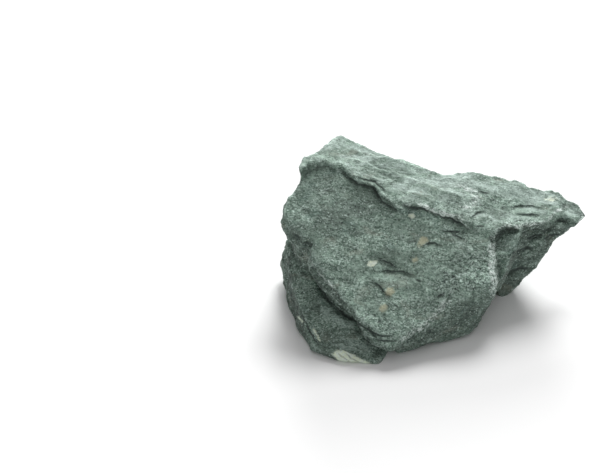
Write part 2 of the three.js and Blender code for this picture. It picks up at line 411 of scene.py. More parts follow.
def sink(bm, depths):
    """Pushes points that face the viewer away along their lines of sight, by their depth in mm."""
    skin = BVHTree.FromBMesh(bm)
    bm.normal_update()
    held = 0
    for vertex, deep in depths.items():
        sight = (vertex.co - camera.location).normalized()
        if vertex.normal.dot(sight) > LEANS_AWAY:
            continue
        most = deepest_blow(skin, vertex.co, sight)
        held += deep > most
        vertex.co += sight * min(deep, most) * above_ground(vertex.co.z / MM) * MM
    print("points held back where the stone is thin", held)


highest = max(stone.data.vertices, key=lambda vertex: vertex.co.z)
print("the highest point is seen at pixel", [round(x) for x in pixel_of(highest.co)])

# %% [markdown]
# ## Outlines on the stone
# Hollows, stains and zones are drawn as outlines of pixels. A point's value says how far inside
# the outline it lies. Points far from the outline's part of the stone, as on the back, get none.

# %% Outlines on the stone
def inside_by(pixel, outline):
    """How many pixels a pixel lies inside an outline; less than 0 outside."""
    u, v = pixel
    inside = False
    border = (*outline, outline[0])
    for (u0, v0), (u1, v1) in zip(border, border[1:]):
        if (v0 > v) != (v1 > v) and u < u0 + (v - v0) * (u1 - u0) / (v1 - v0):
            inside = not inside
    gap = nearest_span(pixel, border)[0]
    return gap if inside else -gap


def skin_of(piece):
    """The skin of a piece, to shoot rays at."""
    places = [vertex.co for vertex in piece.data.vertices]
    return BVHTree.FromPolygons(places, [polygon.vertices for polygon in piece.data.polygons])


def patch_values(piece, skin, outline, border):
    """0.5 on the border of a patch, 1 well inside and 0 well outside, on the seen side."""
    corners = [skin.ray_cast(camera.location, ray_through(pixel))[0] for pixel in outline]
    corners = [corner for corner in corners if corner]
    centre = sum(corners, Vector()) / len(corners)
    reach = max((corner - centre).length for corner in corners) + border * MM
    values = np.zeros(len(piece.data.vertices))
    for vertex in piece.data.vertices:
        if (vertex.co - centre).length < reach:
            depth = inside_by(pixel_of(vertex.co), outline)
            values[vertex.index] = 0.5 + 0.5 * depth / border
    return np.clip(values, 0, 1)


print("inside a square by", inside_by((2, 2), ((0, 0), (4, 0), (4, 4), (0, 4))), "pixels")

# %% [markdown]
# ## Soft hollows
# The larger hollows lie under the brow, where the beak overhangs, and beside the scars. Each is
# an outline with a soft border and sinks to its depth in the middle.

# %% Soft hollows
HOLLOWS = {
    # the width of the border in pixels, the depth in mm, and the outline in pixels
    "under the brow, left": (4, 3.2, (496, 240), (499, 232), (507, 230), (515, 231), (515, 239),
        (506, 247), (500, 252)),
    "beside the right rim": (3, 1.8, (498, 246), (503, 248), (505, 258), (502, 272), (499, 278),
        (498, 262)),
    "under the brow, right": (4, 2.6, (527, 229), (540, 228), (551, 228), (545, 236), (531, 241),
        (525, 237)),
    "cheek of the tip": (1.5, 1.6, (561, 206), (566, 200), (578, 202), (586, 214), (577, 217),
        (569, 214), (563, 212)),
    "recess of the tip": (3, 2.0, (554, 221), (562, 217), (570, 220), (567, 225), (556, 225)),
    "right of the leaf": (6, 0.9, (377, 260), (390, 263), (416, 276), (404, 281), (384, 275)),
    "left of the lower stain": (6, 0.7, (371, 284), (381, 288), (392, 300), (380, 303), (370, 294)),
}


def sink_hollows(piece, hollows):
    """Sinks each hollow to its depth, with an even slope across its border."""
    skin = skin_of(piece)
    depths = np.zeros(len(piece.data.vertices))
    for border, depth, *outline in hollows.values():
        inside = patch_values(piece, skin, outline, border)
        depths = np.maximum(depths, depth * inside ** 2 * (3 - 2 * inside))
    bm = opened(piece)
    sink(bm, {bm.verts[i]: depths[i] for i in np.flatnonzero(depths)})
    put_back(bm, piece)
    print("hollows", len(hollows), "points moved", np.count_nonzero(depths))


sink_hollows(stone, HOLLOWS)

# %% [markdown]
# ## Marks along a line
# A mark is deepest along the middle of its line and fades out at both ends. Across the line it
# has a profile, which each kind of mark brings along.

# %% Marks along a line
def fading(share):
    """0 at both ends of a line and 1 in its middle."""
    return max(math.sin(math.pi * share), 0.0) ** 0.6


def strongest_marks(bm, marks, profile):
    """For each point near the drawn lines the strongest mark that it feels."""
    skin = BVHTree.FromBMesh(bm)
    tree = kdtree.KDTree(len(bm.verts))
    for vertex in bm.verts:
        tree.insert(vertex.co, vertex.index)
    tree.balance()
    strongest = {}
    for width, strength, *pixels in marks:
        for vertex, share, gap, hand in points_near(bm, skin, tree, pixels, REACH * width):
            felt = strength * fading(share) * profile(gap, hand, width)
            if abs(felt) > abs(strongest.get(vertex, 0)):
                strongest[vertex] = felt
    return strongest


def mark(piece, marks, profile):
    """Sinks the points near each drawn line as deep as the profile says, in mm."""
    bm = opened(piece)
    depths = strongest_marks(bm, marks.values(), profile)
    sink(bm, depths)
    put_back(bm, piece)
    print("marks", len(marks), "points moved", len(depths))


print("depth along a mark", [round(fading(share), 2) for share in (0, 0.1, 0.5, 0.9, 1)])

# %% [markdown]
# ## Rims and flake scars
# Where a mass broke away, it left a sharp rim and a hollow that is deepest right beside the rim
# and runs out into the face. A flake does the same on a small scale. Each is drawn by its rim,
# walked so that the hollow lies on the right hand.

# %% Rims and flake scars
RIMS = {
    # the width of the hollow in pixels, its depth in mm, and the rim in pixels
    "step, left": (5, 3.0, (338, 168), (346, 174), (355, 182), (359, 184), (373, 187), (383, 202),
        (397, 210), (406, 214)),
    "lip over the step": (3, 1.6, (350, 173), (362, 179), (375, 181), (390, 197)),
    "step, right": (4, 2.6, (396, 203), (410, 207), (420, 208), (430, 211), (438, 217)),
    "left rim": (7, 1.8, (302, 250), (306, 257), (318, 272), (333, 287), (353, 312), (363, 329),
        (376, 341)),
    "wall over the foot": (9, 3.0, (301, 262), (314, 275), (329, 299), (334, 306), (347, 314),
        (359, 320), (372, 330), (386, 349)),
    "right rim": (8, 2.6, (500, 290), (498, 270), (495, 252), (496, 236)),
    "front ridge": (14, 1.9, (388, 350), (405, 338), (418, 329), (430, 320), (442, 308), (449, 294),
        (454, 282)),
    "brow, left": (7, 2.4, (495, 240), (498, 232), (506, 229), (514, 228), (522, 231), (527, 232)),
    "brow, right": (7, 2.4, (523, 233), (527, 226), (533, 225), (541, 226), (548, 227), (553, 224),
        (557, 218)),
    "brow, tip": (5, 1.8, (555, 221), (562, 217), (567, 218), (571, 220), (577, 227)),
}
SCARS = {
    "under the pale leaf": (8, 1.7, (370, 271), (383, 271), (391, 271), (403, 272), (418, 277)),
    "over the tongue": (7, 1.5, (375, 257), (381, 259), (387, 262), (394, 266), (401, 268)),
    "beside the ochre stain": (7, 1.5, (420, 248), (425, 245), (430, 243), (435, 243), (440, 245),
        (444, 248)),
    "by the lower stain": (7, 1.5, (371, 280), (377, 284), (382, 289), (387, 294), (393, 297)),
    "end of the step": (6, 2.2, (432, 211), (442, 217), (452, 219), (462, 224), (470, 231)),
    "lens under the step": (5, 2.2, (438, 230), (450, 231), (458, 232), (469, 230)),
    "below the lens": (5, 1.6, (450, 234), (460, 237), (469, 242)),
    "arc on the rear strip": (6, 1.8, (507, 211), (518, 206), (532, 206), (545, 209)),
    "slit on the rear strip": (5, 2.0, (515, 213), (524, 214), (540, 215)),
    "slit of the crest": (4, 1.5, (478, 191), (490, 194)),
    "arc over the lens": (5, 1.5, (469, 219), (478, 213), (487, 212)),
    "slit over the lens": (4, 1.3, (475, 227), (486, 226)),
    "upper slit of the beak": (7, 3.0, (508, 255), (519, 250), (526, 248), (536, 247)),
    "slit near the tip": (6, 2.4, (541, 240), (550, 235), (557, 234), (562, 236)),
    "lower slit of the beak": (8, 3.0, (505, 272), (519, 268), (532, 268)),
    "lens of the beak": (5, 2.2, (524, 241), (534, 236), (544, 235)),
    "upper step of the apex": (5, 1.2, (366, 328), (380, 336), (396, 337)),
    "lower step of the apex": (5, 1.2, (374, 339), (384, 341), (398, 341)),
}


def runs_out(gap, hand, width):
    """Deepest beside the rim and running out to the right; nothing on the left hand."""
    wide = max(0.0, 1 - gap / width) ** 1.3
    return smooth_step(hand, -0.4, 0.4) * (wide + 0.4 * math.exp(-gap / 1.2))


mark(stone, RIMS, runs_out)
mark(stone, SCARS, runs_out)

# %% [markdown]
# ## Clefts and ribs
# A cleft is narrow and equally steep on both hands; a rib is the same line raised. The cleft
# between the foot and the wall above it is the darkest line of the stone.

# %% Clefts and ribs
CLEFTS = {
    # half the width in pixels, the depth in mm, less than 0 for a rib, and the line in pixels
    "under the wall": (2.4, 1.4, (303, 265), (314, 277), (329, 301), (346, 316), (359, 323),
        (372, 333), (386, 351)),
    "rib under the brow": (1.5, -0.9, (525, 234), (519, 246), (511, 255), (508, 263), (502, 280)),
    "arc of the beak": (1.5, -0.9, (530, 245), (538, 249), (544, 241)),
    "ridge of the flank": (1.8, -1.2, (281, 233), (287, 244), (292, 255), (296, 275)),
    "vein of the foot": (1.0, 1.2, (302, 316), (312, 335), (321, 349)),
    "first crack of the vein": (0.8, 0.6, (334, 351), (342, 357), (354, 364)),
    "second crack of the vein": (0.8, 0.6, (341, 351), (350, 357), (362, 364)),
    "slit in the recess": (1.2, 1.4, (555, 222), (562, 221), (570, 223)),
    "crack of the face": (0.9, 0.9, (436, 298), (445, 293)),
    "crack by the stain": (0.9, 0.8, (392, 304), (401, 309)),
    "small crack": (0.9, 0.8, (415, 279), (421, 282)),
}


def trough(gap, hand, half):
    """Equally steep on both hands."""
    return math.exp(-((gap / half) ** 2))


mark(stone, CLEFTS, trough)

# %% [markdown]
# ## A second net
# Blows that met in a corner have pushed some points across each other. Laying the voxel net once
# more keeps the shape and leaves a clean closed skin for the grain. Crumbs that came off are
# dropped, so the stone stays one piece.

# %% A second net
def drop_crumbs(piece):
    """Keeps the largest connected part of the mesh and deletes all others."""
    bm = opened(piece)
    islands, left = [], set(bm.verts)
    while left:
        reached = [left.pop()]
        for vertex in reached:
            others = [edge.other_vert(vertex) for edge in vertex.link_edges]
            fresh = [other for other in others if other in left]
            left.difference_update(fresh)
            reached += fresh
        islands.append(reached)
    islands.sort(key=len)
    for island in islands[:-1]:
        bmesh.ops.delete(bm, geom=island, context="VERTS")
    put_back(bm, piece)
    print("crumbs dropped", [len(island) for island in islands[:-1]])


lay_net(stone)
drop_crumbs(stone)

# %% [markdown]
# ## The tip of the beak
# The nets and the melting left the beak short and blunt. Its end is drawn out again, and a
# little down, the nearest points furthest. Then two clean breaks trim it to a wedge: points
# beyond the line of a break are moved back onto it, square to the line of sight.

# %% The tip of the beak
TIP_REACH = 15  # mm
DRAWN_OUT = (5.2, -0.4, -0.8)  # mm to the right, away from the viewer and up
BREAKS = {
    # from pixel to pixel, walked with the stone on the right hand
    "upper break": ((576, 202), (585, 216)),
    "lower break": ((585, 216), (573, 228)),
}


def read(piece, what):
    """The places or the normals of the mesh's points, one row for each point."""
    numbers = np.empty(3 * len(piece.data.vertices))
    piece.data.vertices.foreach_get(what, numbers)
    return numbers.reshape(-1, 3)


def draw_out_tip(piece):
    """Draws the end out and returns the numbers of the points that moved."""
    places = read(piece, "co") / MM
    tip = places[places[:, 0].argmax()]
    share = np.clip(1 - np.linalg.norm(places - tip, axis=1) / TIP_REACH, 0, 1)
    share = share ** 2 * (3 - 2 * share)
    places += np.outer(share, DRAWN_OUT)
    piece.data.vertices.foreach_set("co", (places * MM).ravel())
    return np.flatnonzero(share)


def trim(piece, numbers, start, end):
    """Moves points that lie beyond a break back onto it."""
    du, dv = end[0] - start[0], end[1] - start[1]
    inward = Vector((-dv, -du, 0)).normalized()  # the camera's y axis runs up, the picture's down
    inward = camera.matrix_world.to_3x3() @ inward
    cut = 0
    for number in numbers:
        vertex = piece.data.vertices[int(number)]
        _, hand, _ = nearest_span(pixel_of(vertex.co), (start, end))
        if hand < 0:
            vertex.co -= inward * hand * PIXEL * MM
            cut += 1
    return cut


near_tip = draw_out_tip(stone)
for name, (start, end) in BREAKS.items():
    print(name, "moved", trim(stone, near_tip, start, end), "points")

# %% [markdown]
# ## Grain relief
# The broken surface is as rough as sandpaper, because it runs round the mineral grains. The split
# faces are the smoothest; faces broken across the layers are twice as rough, and one zone of the
# big face is pitted.

# %% Grain relief
PITTED = (
    # the outline of the pitted zone, right of the middle of the big face, in pixels
    (432, 268), (455, 256), (490, 250), (495, 285), (484, 300), (458, 296), (446, 306),
    (432, 320), (407, 339), (396, 336), (416, 318), (436, 296),
)


def roughen(piece):
    """Moves each point along its normal by fine noise, small facets and, where pitted, knobs."""
    places = read(piece, "co") / MM
    normals = read(piece, "normal")
    pitted = patch_values(piece, skin_of(piece), PITTED, 8)
    rise = np.zeros(len(places))
    for i, (place, normal) in enumerate(zip(places, normals)):
        point = Vector(place)
        broken = broken_across(normal)
        fine = swell(point, 2.8, 2.3, 1.9, 29.9) * (0.08 + 0.14 * broken)
        facet = chip_height(point, 4.8, 3.4, 2.0, 51.3) * (0.07 + 0.28 * broken)
        knobs = 0.65 * chip_height(point, 3.6, 3.0, 2.4, 41.7) * pitted[i] if pitted[i] else 0
        rise[i] = (fine + facet + knobs) * above_ground(point.z)
    moved = (places + normals * rise[:, None]) * MM
    piece.data.vertices.foreach_set("co", moved.ravel())
    piece.data.update()
    print("grain stands out by", rise.min().round(2), "to", rise.max().round(2), "mm")


roughen(stone)

# %% [markdown]
# ## A lighter mesh
# The net has as many points on calm faces as on rough ones. Decimate merges the least useful
# triangles until the stone is light enough to be shared.

# %% A lighter mesh
MOST_TRIANGLES = 196000

for polygon in stone.data.polygons:
    polygon.use_smooth = True
thin = stone.modifiers.new("thin", "DECIMATE")
thin.ratio = min(1.0, MOST_TRIANGLES / (2 * len(stone.data.polygons)))
bake_modifiers(stone)
print("triangles", sum(len(p.vertices) - 2 for p in stone.data.polygons))

# %% [markdown]
# ## What the material needs to know
# The finish depends on the shape: edges are bruised pale, and hollows get painted shade. How far a
# point stands out from the average of its surroundings tells which it is. How far a face turns
# down gives the painted shade of the undersides. All is stored on the mesh, so that it stays with
# the stone from every side.

# %% What the material needs to know
NARROW, WIDE, WIDE_NORMALS = 10, 60, 50  # rounds of averaging with the neighbours


def blurred(piece, values, rounds):
    """The values of the points, averaged with their neighbours' again and again."""
    edges = np.empty(2 * len(piece.data.edges), dtype=np.int64)
    piece.data.edges.foreach_get("vertices", edges)
    a, b = edges.reshape(-1, 2).T
    count = len(values)
    neighbours = np.bincount(a, minlength=count) + np.bincount(b, minlength=count)
    values = values.copy()
    for _ in range(rounds):
        for column in range(values.shape[1]):
            old = values[:, column]
            total = np.bincount(a, old[b], count) + np.bincount(b, old[a], count)
            values[:, column] = 0.5 * old + 0.5 * total / neighbours
    return values


def store(name, values):
    """Keeps one number for each point of the stone, for the material to read."""
    attribute = stone.data.attributes.new(name, "FLOAT", "POINT")
    attribute.data.foreach_set("value", np.clip(values, 0, 1).astype(np.float32))


def standing_out(piece, rounds):
    """How far each point stands out from its surroundings, in mm; less than 0 in a hollow."""
    places = read(piece, "co") / MM
    normals = blurred(piece, read(piece, "normal"), 4)
    return ((places - blurred(piece, places, rounds)) * normals).sum(axis=1)


narrow = standing_out(stone, NARROW)
wide = standing_out(stone, WIDE)
facing = blurred(stone, read(stone, "normal"), WIDE_NORMALS)
upward = facing[:, 2] / np.linalg.norm(facing, axis=1)
on_edge = np.clip(narrow / 0.4, 0, 1) * 0.7 + np.clip(wide / 1.6, 0, 1) * 0.4
# in_hollow says where the material paints shade into the hollows
in_hollow = np.clip(-narrow / 0.5, 0, 1) * 0.4 + np.clip(-wide / 1.6, 0, 1) * 0.7
store("edge", on_edge)
store("hollow", in_hollow)
store("top", (upward - 0.90) / 0.05)
# under: faces that turn down, which the material darkens as painted shade
store("under", (0.75 - upward) / 0.6)
print("standing out, narrow and wide", round(narrow.std(), 3), round(wide.std(), 3))

# %% [markdown]
# ## Stains and pale patches
# A few patches have their own mineral: pale green epidote and calcite, and ochre where iron has
# rusted. Each is an outline of pixels. A point's value is how far inside the outline it lies, so
# the material can give the patch a ragged border by adding noise to the value. Faint patches
# have a lower strength, which keeps their value low.

# %% Stains and pale patches
PALE = {
    # the width of the border in pixels, the strength, and the outline in pixels
    "leaf": (3, 1.0, (366, 266), (369, 261), (378, 260), (377, 264), (373, 267)),
    "spot under the step": (3, 0.9, (407, 215), (412, 212), (417, 216), (412, 220)),
    "top of the beak": (6, 0.72, (540, 200), (548, 194), (557, 195), (561, 200), (551, 205)),
    "foot vein": (4, 0.9, (331, 354), (336, 349), (345, 350), (354, 354), (363, 359), (375, 364),
        (366, 368), (352, 367), (338, 362)),
    "foot spot": (3, 0.8, (295, 316), (299, 315), (305, 322), (302, 324)),
    "foot streak": (3, 0.85, (311, 329), (315, 328), (320, 337), (322, 343), (318, 341)),
    "tooth of the rim": (4, 0.7, (305, 239), (308, 237), (312, 241), (309, 244)),
}
OCHRE = {
    "stain": (4, 1.0, (418, 241), (421, 236), (426, 236), (430, 241), (425, 244), (420, 248),
        (416, 246)),
    "faint stain": (4, 0.9, (411, 258), (417, 256), (420, 260), (415, 264), (411, 262)),
    "lower stain": (4, 1.0, (384, 292), (387, 287), (393, 287), (396, 292), (391, 297), (386, 296)),
    "lowest stain": (5, 0.9, (377, 309), (381, 303), (387, 303), (389, 309), (384, 314),
        (379, 312)),
    "stain of the strip": (4, 0.8, (418, 192), (421, 190), (425, 192), (422, 195)),
    "dot": (2, 0.9, (394, 243), (397, 243), (397, 246), (394, 246)),
}


skin = skin_of(stone)


def store_patches(name, patches):
    """Stores for each point the highest of its values in the patches."""
    values = np.zeros(len(stone.data.vertices))
    for border, strength, *outline in patches.values():
        values = np.maximum(values, strength * patch_values(stone, skin, outline, border))
    store(name, values)
    print(name, "patches", len(patches))


store_patches("pale", PALE)
store_patches("ochre", OCHRE)

# %% [markdown]
# ## Zones of the stone
# The stone isn't equally dark nor equally coarse all over. The dark zones are painted shade: on the
# foot under the overhanging face, in the upper corner of the big face, on the cheek of the tip,
# behind the lip and under the crest; around the scars the stone is only a little darker. The
# middle of the big face is calm, and its lower right is crushed and sparkles. Each zone has a
# soft border, a strength and an outline, in this order.

# %% Zones of the stone
# painted shade, except around the scars, where the stone is only a little darker
SHADE_AND_DARK_ZONES = {
    "foot": (7, 1.0, (279, 232), (296, 254), (318, 284), (334, 306), (359, 322), (384, 348),
        (381, 366), (340, 366), (312, 344), (291, 326), (283, 280)),
    "upper corner of the face": (20, 0.9, (325, 180), (346, 182), (372, 192), (384, 210),
        (376, 222), (340, 232), (300, 228)),
    "cheek of the tip": (3, 1.0, (560, 207), (566, 201), (578, 203), (584, 214), (577, 216),
        (569, 214), (562, 213)),
    "around the scars": (8, 0.15, (372, 262), (396, 250), (424, 250), (432, 264), (424, 286),
        (402, 296), (378, 284)),
    "behind the lip": (6, 0.5, (404, 196), (420, 190), (440, 198), (436, 206), (416, 204)),
    "under the crest": (6, 0.5, (500, 184), (520, 188), (540, 198), (536, 204), (515, 200)),
}
CALM = {
    "around the scars": (8, 1.0, (372, 262), (396, 250), (424, 250), (436, 264), (428, 286),
        (404, 298), (376, 288)),
    "tongue": (3, 1.0, (376, 260), (392, 264), (410, 270), (392, 271), (378, 268)),
}
CRUSHED = {
    "right of the big face": (10, 1.0, *PITTED),
    "apex": (7, 0.8, (360, 312), (372, 305), (392, 318), (402, 336), (390, 348), (374, 336)),
    "shoulder": (8, 0.8, (452, 184), (474, 184), (484, 204), (470, 216), (448, 204)),
    "over the brow": (6, 0.8, (480, 222), (500, 216), (540, 214), (552, 222), (526, 228),
        (496, 234)),
}

store_patches("dark", SHADE_AND_DARK_ZONES)
store_patches("calm", CALM)
store_patches("crushed", CRUSHED)

# %% [markdown]
# ## Bruised rims and dark cracks
# Where the stone was knocked, its edge is crushed to white powder. The worst of these edges are
# drawn as lines; how near a point is to one of them is stored on the mesh. The bottoms of the
# scars and clefts are stored the same way, for the painted shade that darkens them.

# %% Bruised rims and dark cracks
BRUISED = {
    # half the width of the bruise in pixels, its strength, and the line in pixels
    "left rim": (1.6, 0.55, (306, 252), (311, 265), (318, 272), (333, 287), (345, 303)),
    "right rim": (4.4, 1.0, (499, 228), (493, 238), (491, 250), (493, 268), (495, 284), (492, 300)),
    "front ridge": (4.0, 0.62, (390, 347), (405, 338), (418, 329), (430, 320), (442, 308),
        (450, 294), (462, 284)),
    "over the brow": (2.4, 0.9, (496, 231), (506, 226), (518, 227), (526, 224), (540, 223),
        (552, 221)),
    "end of the step": (2.5, 0.9, (402, 206), (420, 205), (440, 213), (458, 218), (470, 228),
        (484, 234)),
    "back of the tip": (2.2, 0.8, (548, 222), (553, 214), (560, 209), (570, 206)),
    "edge of the tip": (1.6, 0.9, (576, 226), (583, 218), (580, 207)),
    "shoulder": (3.5, 0.9, (452, 184), (464, 187), (478, 196), (470, 206), (455, 205)),
}


def store_lines(name, lines):
    """Stores for each point how near it is to a line: its strength on the line, 0 far from it."""
    bm = opened(stone)
    values = np.zeros(len(bm.verts))
    for vertex, near in strongest_marks(bm, lines, trough).items():
        values[vertex.index] = near
    bm.free()
    store(name, values)
    print(name, "lines", len(lines))


CRACK = 1.1  # half the width of a dark crack in pixels
steps = [RIMS["step, left"], RIMS["step, right"], RIMS["lip over the step"]]
sunk = steps + list(SCARS.values()) + list(CLEFTS.values())
# the bottoms of the scars, clefts and steps, along which the material paints shade
cracks = [(CRACK, 1.0, *pixels) for _, depth, *pixels in sunk if depth > 0]
store_lines("bruise", BRUISED.values())
store_lines("crack", cracks)

# %% [markdown]
# ## The finish
# Green slate is a felt of chlorite, dark green, with grains of pale feldspar and quartz. The
# material builds it from the small to the large: single grains, streaks along the layers, clouds
# a centimetre wide, then bruises on the edges, shade in the hollows and the patches. A few
# helpers keep the many nodes readable.

# %% The finish
slate = bpy.data.materials.new("green slate")
slate.use_nodes = True
tree = slate.node_tree
shader = tree.nodes["Principled BSDF"]


def put(kind, **settings):
    """A new node with its settings."""
    made = tree.nodes.new(kind)
    for name, value in settings.items():
        setattr(made, name, value)
    return made


def wire(source, target, socket):
    """Joins an output, or sets a plain value, at a socket of a node."""
    if isinstance(source, bpy.types.NodeSocket):
        tree.links.new(source, target.inputs[socket])
    else:
        target.inputs[socket].default_value = source


def ramp(value, low, high, start=0.0, end=1.0):
    """Start below low, end above high, and an even change between them."""
    made = put("ShaderNodeMapRange", interpolation_type="SMOOTHSTEP")
    wire(value, made, "Value")
    for name, number in (("From Min", low), ("From Max", high), ("To Min", start), ("To Max", end)):
        wire(number, made, name)
    return made.outputs["Result"]


def maths(operation, a, b, kind="ShaderNodeMath", output="Value"):
    """A sum, difference or the like of two values."""
    made = put(kind, operation=operation)
    wire(a, made, 0)
    wire(b, made, 1)
    return made.outputs[output]


def vectors(operation, a, b, output="Vector"):
    """The same for two vectors."""
    return maths(operation, a, b, "ShaderNodeVectorMath", output)


def mixed(share, first, second, blend="MIX"):
    """Two colours mixed by a share."""
    made = put("ShaderNodeMix", data_type="RGBA", blend_type=blend)
    for value, socket in ((share, 0), (first, 6), (second, 7)):
        if isinstance(value, tuple):
            value = (*value, 1)
        wire(value, made, socket)
    return made.outputs[2]


def product(*values):
    """All the values multiplied with each other."""
    result = values[0]
    for value in values[1:]:
        result = maths("MULTIPLY", result, value)
    return result


def stored(name):
    """A number that the mesh keeps for each point."""
    return put("ShaderNodeAttribute", attribute_name=name).outputs["Fac"]


print("finish", slate.name)

# %% [markdown]
# ## Patterns that follow the layers
# Every pattern reads the place on the object, turned into the slate's own directions and
# measured in millimetres. So the grains lie along the layers on every side of the stone.

# %% Patterns that follow the layers
def along_the_slate(size):
    """Object coordinates turned into the slate's directions, one unit for each size in mm."""
    place = put("ShaderNodeTexCoord").outputs["Object"]
    turned = put("ShaderNodeMapping", vector_type="POINT")
    wire(SLATE.to_euler(), turned, "Rotation")
    wire(place, turned, "Vector")
    sized = put("ShaderNodeMapping", vector_type="POINT")
    wire([1 / (length * MM) for length in size], sized, "Scale")
    wire(turned.outputs["Vector"], sized, "Vector")
    return sized.outputs["Vector"]


def pattern(kind, place):
    """A pattern of the given kind that reads the given place."""
    made = put(kind)
    wire(place, made, "Vector")
    wire(1, made, "Scale")
    return made


def mineral(size, detail=1.0, rough=0.5, warp=0.0):
    """Noise whose grains have the given size along the strike, up the dip and across, in mm."""
    made = pattern("ShaderNodeTexNoise", along_the_slate(size))
    for name, number in (("Detail", detail), ("Roughness", rough), ("Distortion", warp)):
        wire(number, made, name)
    return made.outputs["Fac"]


def crystals(size):
    """Packed grains of the given size: two random values from 0 to 1 that each grain has."""
    cells = pattern("ShaderNodeTexVoronoi", along_the_slate(size))
    split = put("ShaderNodeSeparateColor")
    wire(cells.outputs["Color"], split, "Color")
    return split.outputs["Red"], split.outputs["Green"]


def facets(size):
    """Height of small flat facets of the given size, each tilted in a way of its own."""
    place = along_the_slate(size)
    cells = pattern("ShaderNodeTexVoronoi", place)
    tilt = vectors("SUBTRACT", cells.outputs["Color"], (0.5, 0.5, 0.5))
    offset = vectors("SUBTRACT", place, cells.outputs["Position"])
    return vectors("DOT_PRODUCT", tilt, offset, "Value")


print("patterns turn by", [round(math.degrees(angle), 1) for angle in SLATE.to_euler()], "degrees")

# %% [markdown]
# ## Mineral colours
# Each mineral has one colour. They are lighter than the stone looks, because its rough surface
# shades itself: the shade is added below, and what the lamps don't reach stays dark.

# %% Mineral colours
CHLORITE_DARK = (0.128, 0.204, 0.160)
CHLORITE = (0.305, 0.420, 0.348)
FELDSPAR = (0.58, 0.73, 0.65)
POWDER = (0.62, 0.77, 0.70)  # stone crushed by a knock
THIN_POWDER = (0.30, 0.40, 0.35)
THICK_POWDER = (0.88, 0.98, 0.93)
CALCITE = (0.80, 0.90, 0.81)
EPIDOTE = (0.82, 0.92, 0.70)
RUST = (0.63, 0.62, 0.42)
WARM_GREY = (0.31, 0.32, 0.26)
TEAL = (0.16, 0.27, 0.24)
# near black: the darkest grains, thin slits, and the painted shade in cracks and hollows
BLACK_GRAIN_AND_SHADE = (0.05, 0.07, 0.06)
# darker still: small pits, and the painted shade along the drawn cracks
DARK_PIT_AND_CRACK_SHADE = (0.03, 0.045, 0.04)
print("chlorite", CHLORITE, "feldspar", FELDSPAR)

# %% [markdown]
# ## Grains
# A Voronoi pattern packs grains of about a millimetre. Each has a random tone; a few are nearly
# black and a few sparkle white. The contrast between the grains is lower in the calm zones and
# on the smooth top, and higher where the stone is crushed. The sparkling ones are added after
# the shade, so that they show on the dark undersides too.

# %% Grains
grain_tone, grain_kind = crystals((0.95, 0.85, 0.75))
flecks, _ = crystals((2.2, 1.3, 0.9))
calm_clouds = ramp(mineral((34, 20, 14), detail=2.0, warp=0.5), 0.46, 0.64)
calm = maths("MAXIMUM", stored("calm"), calm_clouds)
contrast = maths("ADD", ramp(calm, 0, 1, 1.1, 0.6), ramp(stored("crushed"), 0, 1, 0, 0.25))
contrast = product(contrast, ramp(stored("top"), 0, 1, 0.95, 0.5))
granular = maths("ADD", product(maths("SUBTRACT", grain_tone, 0.5), contrast), 0.5)
tone = maths("ADD", product(granular, 0.76), product(flecks, 0.24))
felt = mixed(ramp(tone, 0.15, 0.6), CHLORITE_DARK, CHLORITE)
felt = mixed(ramp(tone, 0.6, 0.95, 0.0, 0.9), felt, FELDSPAR)
felt = mixed(ramp(grain_kind, 0.03, 0.08, 0.75, 0.0), felt, BLACK_GRAIN_AND_SHADE)
print("nodes for the grains", len(tree.nodes))

# %% [markdown]
# ## Clouds and shade
# Over the grains lie softer patterns: matted grains, streaks along the layers and clouds. They
# multiply the colour by about one. Undersides and the dark zones are darkened as painted shade.
# Last, the hue drifts between a warmer grey and teal, and the sparkling grains are laid on.

# %% Clouds and shade
matted = mineral((2.4, 2.0, 1.5), detail=2.0, rough=0.7)
streaks = mineral((8.0, 2.8, 1.2), detail=2.5, rough=0.6, warp=0.4)
clouds = mineral((22, 13, 9), detail=2.5, rough=0.55, warp=0.6)
broad = mineral((70, 45, 40), detail=1.0)
hue = mineral((26, 15, 12), detail=3.0, rough=0.6, warp=0.8)
shade = product(
    maths("ADD", ramp(clouds, 0.3, 0.7, 0.74, 1.26), ramp(broad, 0.3, 0.7, -0.06, 0.06)),
    ramp(matted, 0.3, 0.7, 0.86, 1.14),
    ramp(streaks, 0.3, 0.7, 0.90, 1.10),
    # painted shade: faces that turn down, and the dark zones
    ramp(stored("under"), 0, 1, 1.0, 0.48),
    ramp(stored("dark"), 0, 1, 1.0, 0.65),
    ramp(stored("top"), 0, 1, 1.0, 0.97),
)
shade_colour = put("ShaderNodeCombineXYZ")
for axis in "XYZ":
    wire(shade, shade_colour, axis)
tinted = mixed(1.0, felt, shade_colour.outputs["Vector"], "MULTIPLY")
tinted = mixed(ramp(hue, 0.58, 0.72, 0, 0.35), tinted, WARM_GREY)
tinted = mixed(ramp(hue, 0.42, 0.28, 0, 0.25), tinted, TEAL)
tinted = mixed(ramp(grain_kind, 0.950, 0.970, 0.0, 0.6), tinted, POWDER)
print("nodes with the clouds", len(tree.nodes))

# %% [markdown]
# ## Bruises
# Powder lies on the edges that stand out, thickest on the bruised rims, in soft wisps over the
# top and as veins through the crushed zones. Noise breaks all of it up, so no edge gets an even
# painted line.

